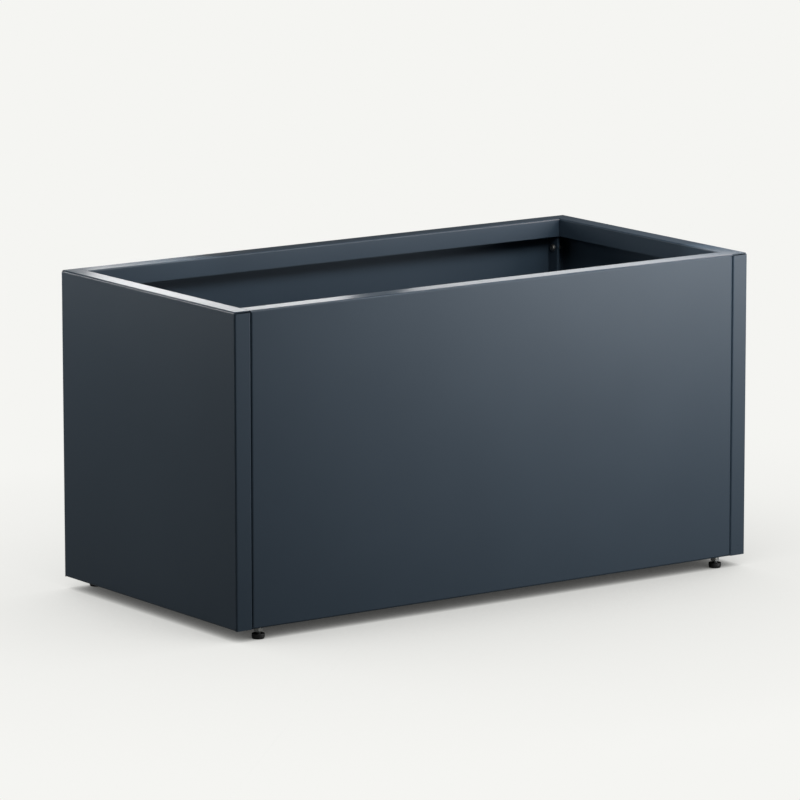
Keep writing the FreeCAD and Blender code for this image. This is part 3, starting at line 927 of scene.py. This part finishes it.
# %% Tool for threads
THREAD_STEPS = 32
DEPTH_SHARE = 0.5413
ROOT_SHARE = 1 / 4
FLANK_SHARE = 5 / 16
LEAD_IN_TURNS = 1.4
SPARE_TURNS = 3


def threaded_rod(name, radius, pitch, low, high, tip):
    """A rod with a standard metric thread, cut square below and tapered at its tip."""
    root = radius - DEPTH_SHARE * pitch
    start = low - LEAD_IN_TURNS * pitch
    rise = ((root, 0), (root, ROOT_SHARE), (radius, ROOT_SHARE + FLANK_SHARE),
            (radius, 1 - FLANK_SHARE), (root, 1))
    rod = drawn_line(name, [(reach, start + share * pitch) for reach, share in rise])
    bpy.ops.object.mode_set(mode="OBJECT")
    turns = math.ceil((high - low) / pitch) + 1
    use_modifier(rod, "SCREW", axis="Z", angle=2 * math.pi, screw_offset=pitch * MM,
                 iterations=turns + SPARE_TURNS, steps=THREAD_STEPS, render_steps=THREAD_STEPS)
    bpy.ops.object.mode_set(mode="EDIT")
    bpy.ops.mesh.select_all(action="SELECT")
    bpy.ops.mesh.remove_doubles(threshold=SAME_POINT)
    for height, below in ((low, True), (low + turns * pitch, False)):
        bpy.ops.mesh.select_all(action="SELECT")
        bpy.ops.mesh.bisect(plane_co=mm(0, 0, height), plane_no=UP, use_fill=True, threshold=SAME_POINT,
                            clear_inner=below, clear_outer=not below)
    close_up()
    outline = turned_piece("thread_outline", [
        (0, low - pitch), (radius + pitch, low - pitch), (radius + pitch, high - tip - pitch),
        (radius - tip, high), (0, high)])
    cut_with(rod, outline, "INTERSECT")
    return rod


print("threads get", THREAD_STEPS, "steps a turn")


# %% [markdown]
# Nuts and key sockets have six flats, which come from a six-sided bar.
# On a real nut the corners are turned off to a flat cone at both ends, and the bore is countersunk.
# So the bar is cut to a turned outline, and the bore is a turned plug that widens at its ends.

# %% Tools for nuts
NUT_CONE = math.tan(math.radians(30))
CROWN_SHARE = 0.49
OUTLINE_SHARE = 0.6
COUNTERSINK = 0.6
CUT_PAST = 0.1


def hex_bar(name, flats, low, high):
    """A six-sided bar about Z with two corners on the X axis."""
    bpy.ops.object.select_all(action="DESELECT")
    bpy.ops.mesh.primitive_cylinder_add(vertices=6, radius=flats / math.sqrt(3) * MM, depth=(high - low) * MM,
                                        location=mm(0, 0, (low + high) / 2), rotation=(0, 0, QUARTER / 3))
    bpy.context.object.name = name
    bpy.ops.object.transform_apply(location=True, rotation=True, scale=True)
    return bpy.context.object


def nut_blank(name, flats, low, high):
    """A six-sided bar with its corners turned off at both ends."""
    blank = hex_bar(name, flats, low, high)
    crown = CROWN_SHARE * flats - CUT_PAST / NUT_CONE
    reach = OUTLINE_SHARE * flats
    drop = (reach - crown) * NUT_CONE - CUT_PAST
    outline = turned_piece("nut_outline", [
        (0, low - CUT_PAST), (crown, low - CUT_PAST), (reach, low + drop),
        (reach, high - drop), (crown, high + CUT_PAST), (0, high + CUT_PAST)])
    cut_with(blank, outline, "INTERSECT")
    return blank


def nut_bore(radius, low, high):
    """A plug that bores a nut and countersinks both ends."""
    wide = radius + COUNTERSINK + CUT_PAST
    return turned_piece("nut_bore", [
        (0, low - CUT_PAST), (wide, low - CUT_PAST), (radius, low + COUNTERSINK),
        (radius, high - COUNTERSINK), (wide, high + CUT_PAST), (0, high + CUT_PAST)])


print("nuts are crowned to", CROWN_SHARE, "of their flats")


# %% [markdown]
# Each seam is held by three M6 screws with a flanged button head, driven from inside with a hexagon key.
# The head is turned with a low dome, a six-sided bar cuts the socket, and the threaded shank comes last.
# One screw is modelled upright with its bearing face on the origin. Its copies are laid along the seams,
# each turned a little differently, because no two screws stop at the same angle.

# %% Seam screws
CORNERS = {"front_left": (-1, -1), "front_right": (1, -1), "rear_left": (-1, 1), "rear_right": (1, 1)}
SCREW_FACE = SEAM_FACE - SHEET
SCREW_TURNS = (12, 41, 28)
SCREW_RADIUS = 3.0
SCREW_PITCH = 1.0
SCREW_LENGTH = 16.0
SCREW_TIP = 0.7
HEAD_RADIUS = 5.25
HEAD_HEIGHT = 3.3
HEAD_DOME = 2.2
FLANGE_RADIUS = 6.8
FLANGE_EDGE = 0.7
FLANGE_ROOT = 1.0
FLANGE_ROUND = 0.2
KEY_FLATS = 4.0
SCREW_KEY_DEPTH = 2.1


def lay_along_seams(piece, node, made, face, angles):
    """Copies a fastener to three places on each seam, as one piece for a seam, and removes the pattern."""
    for corner, (side_x, side_y) in CORNERS.items():
        row = []
        for height, angle in zip(SCREW_HEIGHTS, angles):
            one = put(copied(piece, node), turn=(0, 0, math.radians(angle)))
            row.append(put(one, (side_x * face, side_y * FASTENER_Y, height), (0, side_x * QUARTER, 0)))
        dress(joined(row, f"{node}_{corner}_{made}"), f"{node}_{corner}", "planter")
    print(size_of(piece))
    bpy.data.objects.remove(piece)


screw = turned_piece("seam_screw", [
    (0, -HEAD_HEIGHT), (HEAD_RADIUS, -HEAD_HEIGHT, HEAD_DOME), (HEAD_RADIUS, -FLANGE_ROOT),
    (FLANGE_RADIUS, -FLANGE_EDGE, FLANGE_ROUND), (FLANGE_RADIUS, 0, FLANGE_ROUND / 2), (0, 0)])
socket = hex_bar("key_socket", KEY_FLATS, -HEAD_HEIGHT - CUT_PAST, SCREW_KEY_DEPTH - HEAD_HEIGHT)
cut_with(screw, socket)
thread = threaded_rod("screw_thread", SCREW_RADIUS, SCREW_PITCH, -CUT_PAST, SCREW_LENGTH, SCREW_TIP)
cut_with(screw, thread, "UNION")
smooth(screw)
lay_along_seams(screw, "seam_screws", "turned", SCREW_FACE, SCREW_TURNS)


# %% [markdown]
# A flanged nut sits on each screw, behind the wrap of the end panel.
# Its sloping flange spreads the load on the thin sheet. It is joined to the six-sided blank before boring.

# %% Seam nuts
NUT_FACE = WRAP_FACE + SHEET
NUT_TURNS = (24, 82, 56)
NUT_FLATS = 10.0
NUT_HEIGHT = 6.0
NUT_BORE = 3.08
NUT_FLANGE_RADIUS = 7.1
NUT_FLANGE_EDGE = 0.9
NUT_FLANGE_TOP = 1.7

nut = nut_blank("seam_nut", NUT_FLATS, CUT_PAST, NUT_HEIGHT)
flange = turned_piece("nut_flange", [
    (0, 0), (NUT_FLANGE_RADIUS, 0, FLANGE_ROUND), (NUT_FLANGE_RADIUS, NUT_FLANGE_EDGE, FLANGE_ROUND),
    (NUT_FLATS / 2, NUT_FLANGE_TOP), (0, NUT_FLANGE_TOP)])
cut_with(nut, flange, "UNION")
cut_with(nut, nut_bore(NUT_BORE, 0, NUT_HEIGHT))
smooth(nut)
lay_along_seams(nut, "seam_nuts", "forged", NUT_FACE, NUT_TURNS)


# %% [markdown]
# The planter stands on four levelling feet. A black moulded pad holds the disc of a stud, which can turn.
# All pieces of a foot are turned round one upright axis, so one foot is modelled at the origin.
# The pad's profile runs up its outside, over the rounded shoulder and down into the pocket for the disc.

# %% Foot pads
PAD_RADIUS = 10.3
PAD_HEIGHT = 8.5
PAD_TAPER = 1.0
PAD_TAPER_HEIGHT = 3.5
PAD_ROUND = 0.8
PAD_FLOOR = 2.2
POCKET_RADIUS = 6.8
POCKET_TOP = 5.7
PAD_MOUTH = 4.3


def set_on_feet(piece, node, made, body=None):
    """Copies a piece to the four feet, where it rides on a foot's own body or on the planter."""
    for corner, (side_x, side_y) in CORNERS.items():
        one = put(copied(piece, f"{node}_{corner}_{made}"), (side_x * FOOT_X, side_y * FASTENER_Y, 0))
        dress(one, f"{node}_{corner}", f"{body}_{corner}" if body else "planter")
    print(size_of(piece))
    bpy.data.objects.remove(piece)


pad = turned_piece("foot_pad", [
    (0, 0), (PAD_RADIUS - PAD_TAPER, 0, PAD_ROUND), (PAD_RADIUS, PAD_TAPER_HEIGHT, 2 * PAD_ROUND),
    (PAD_RADIUS, PAD_HEIGHT, PAD_ROUND), (PAD_MOUTH, PAD_HEIGHT, PAD_ROUND / 2),
    (PAD_MOUTH, POCKET_TOP), (POCKET_RADIUS, POCKET_TOP), (POCKET_RADIUS, PAD_FLOOR), (0, PAD_FLOOR)])
smooth(pad)
set_on_feet(pad, "foot_pad", "moulded", "pad")


# %% [markdown]
# The stud is an M8 threaded rod with a disc at its foot and a key socket in its upper end.
# It climbs as it turns, so it is a body of its own, which the planter's weight rests on.

# %% Foot studs
STUD_RADIUS = 4.0
STUD_PITCH = 1.25
STUD_TIP = 0.9
STUD_KEY_DEPTH = 5.0
DISC_RADIUS = 6.5
DISC_LOW = 2.5
DISC_TOP = 5.1
DISC_ROUND = 0.3
STUD_TOP = 42.5

stud = turned_piece("foot_stud", [
    (0, DISC_LOW), (DISC_RADIUS, DISC_LOW, DISC_ROUND),
    (DISC_RADIUS, DISC_TOP, DISC_ROUND), (0, DISC_TOP)])
thread = threaded_rod("stud_thread", STUD_RADIUS, STUD_PITCH, DISC_TOP - CUT_PAST, STUD_TOP, STUD_TIP)
cut_with(stud, thread, "UNION")
cut_with(stud, hex_bar("key_socket", KEY_FLATS, STUD_TOP - STUD_KEY_DEPTH, STUD_TOP + CUT_PAST))
smooth(stud)
set_on_feet(stud, "foot_stud", "threaded", "stud")


# %% [markdown]
# A thin flange can't hold a thread, so a rivet nut is pressed into it, and its skirt swells to a collar.
# Below the flange a plain lock nut is screwed up the stud and jams it once the planter stands level.
# Both are bored wide enough to clear the stud's thread, so nothing cuts into it when the foot is adjusted.

# %% Foot lock nuts and rivet nuts
STUD_BORE = 4.08
LOCK_FLATS = 13.0
LOCK_LOW = 11.5
RIVET_LOW = 18.0
RIVET_TOP = 34.0
RIVET_RADIUS = 5.5
RIVET_FLANGE = 7.5
RIVET_ROUND = 0.3
COLLAR_RADIUS = 7.0
COLLAR_FULL = TRAY_LOW + 1.0
COLLAR_TOP = TRAY_LOW + 4.0
COLLAR_ROUND = 0.6
COLLAR_SWELL = 1.5
COLLAR_FADE = 2.0
BORE_CHAMFER = 0.5
BORE_EDGE = STUD_BORE + BORE_CHAMFER

lock = nut_blank("foot_lock_nut", LOCK_FLATS, LOCK_LOW, RIVET_LOW)
cut_with(lock, nut_bore(STUD_BORE, LOCK_LOW, RIVET_LOW))
smooth(lock)
rivet = turned_piece("foot_rivet_nut", [
    (STUD_BORE, RIVET_LOW + BORE_CHAMFER), (BORE_EDGE, RIVET_LOW), (RIVET_FLANGE, RIVET_LOW, RIVET_ROUND),
    (RIVET_FLANGE, BOTTOM), (RIVET_RADIUS, BOTTOM), (RIVET_RADIUS, TRAY_LOW),
    (COLLAR_RADIUS, TRAY_LOW, COLLAR_ROUND), (COLLAR_RADIUS, COLLAR_FULL, COLLAR_SWELL),
    (RIVET_RADIUS, COLLAR_TOP, COLLAR_FADE), (RIVET_RADIUS, RIVET_TOP, RIVET_ROUND),
    (BORE_EDGE, RIVET_TOP), (STUD_BORE, RIVET_TOP - BORE_CHAMFER), (STUD_BORE, RIVET_LOW + BORE_CHAMFER)])
smooth(rivet)
set_on_feet(lock, "foot_lock_nut", "forged")
set_on_feet(rivet, "foot_rivet_nut", "pressed")
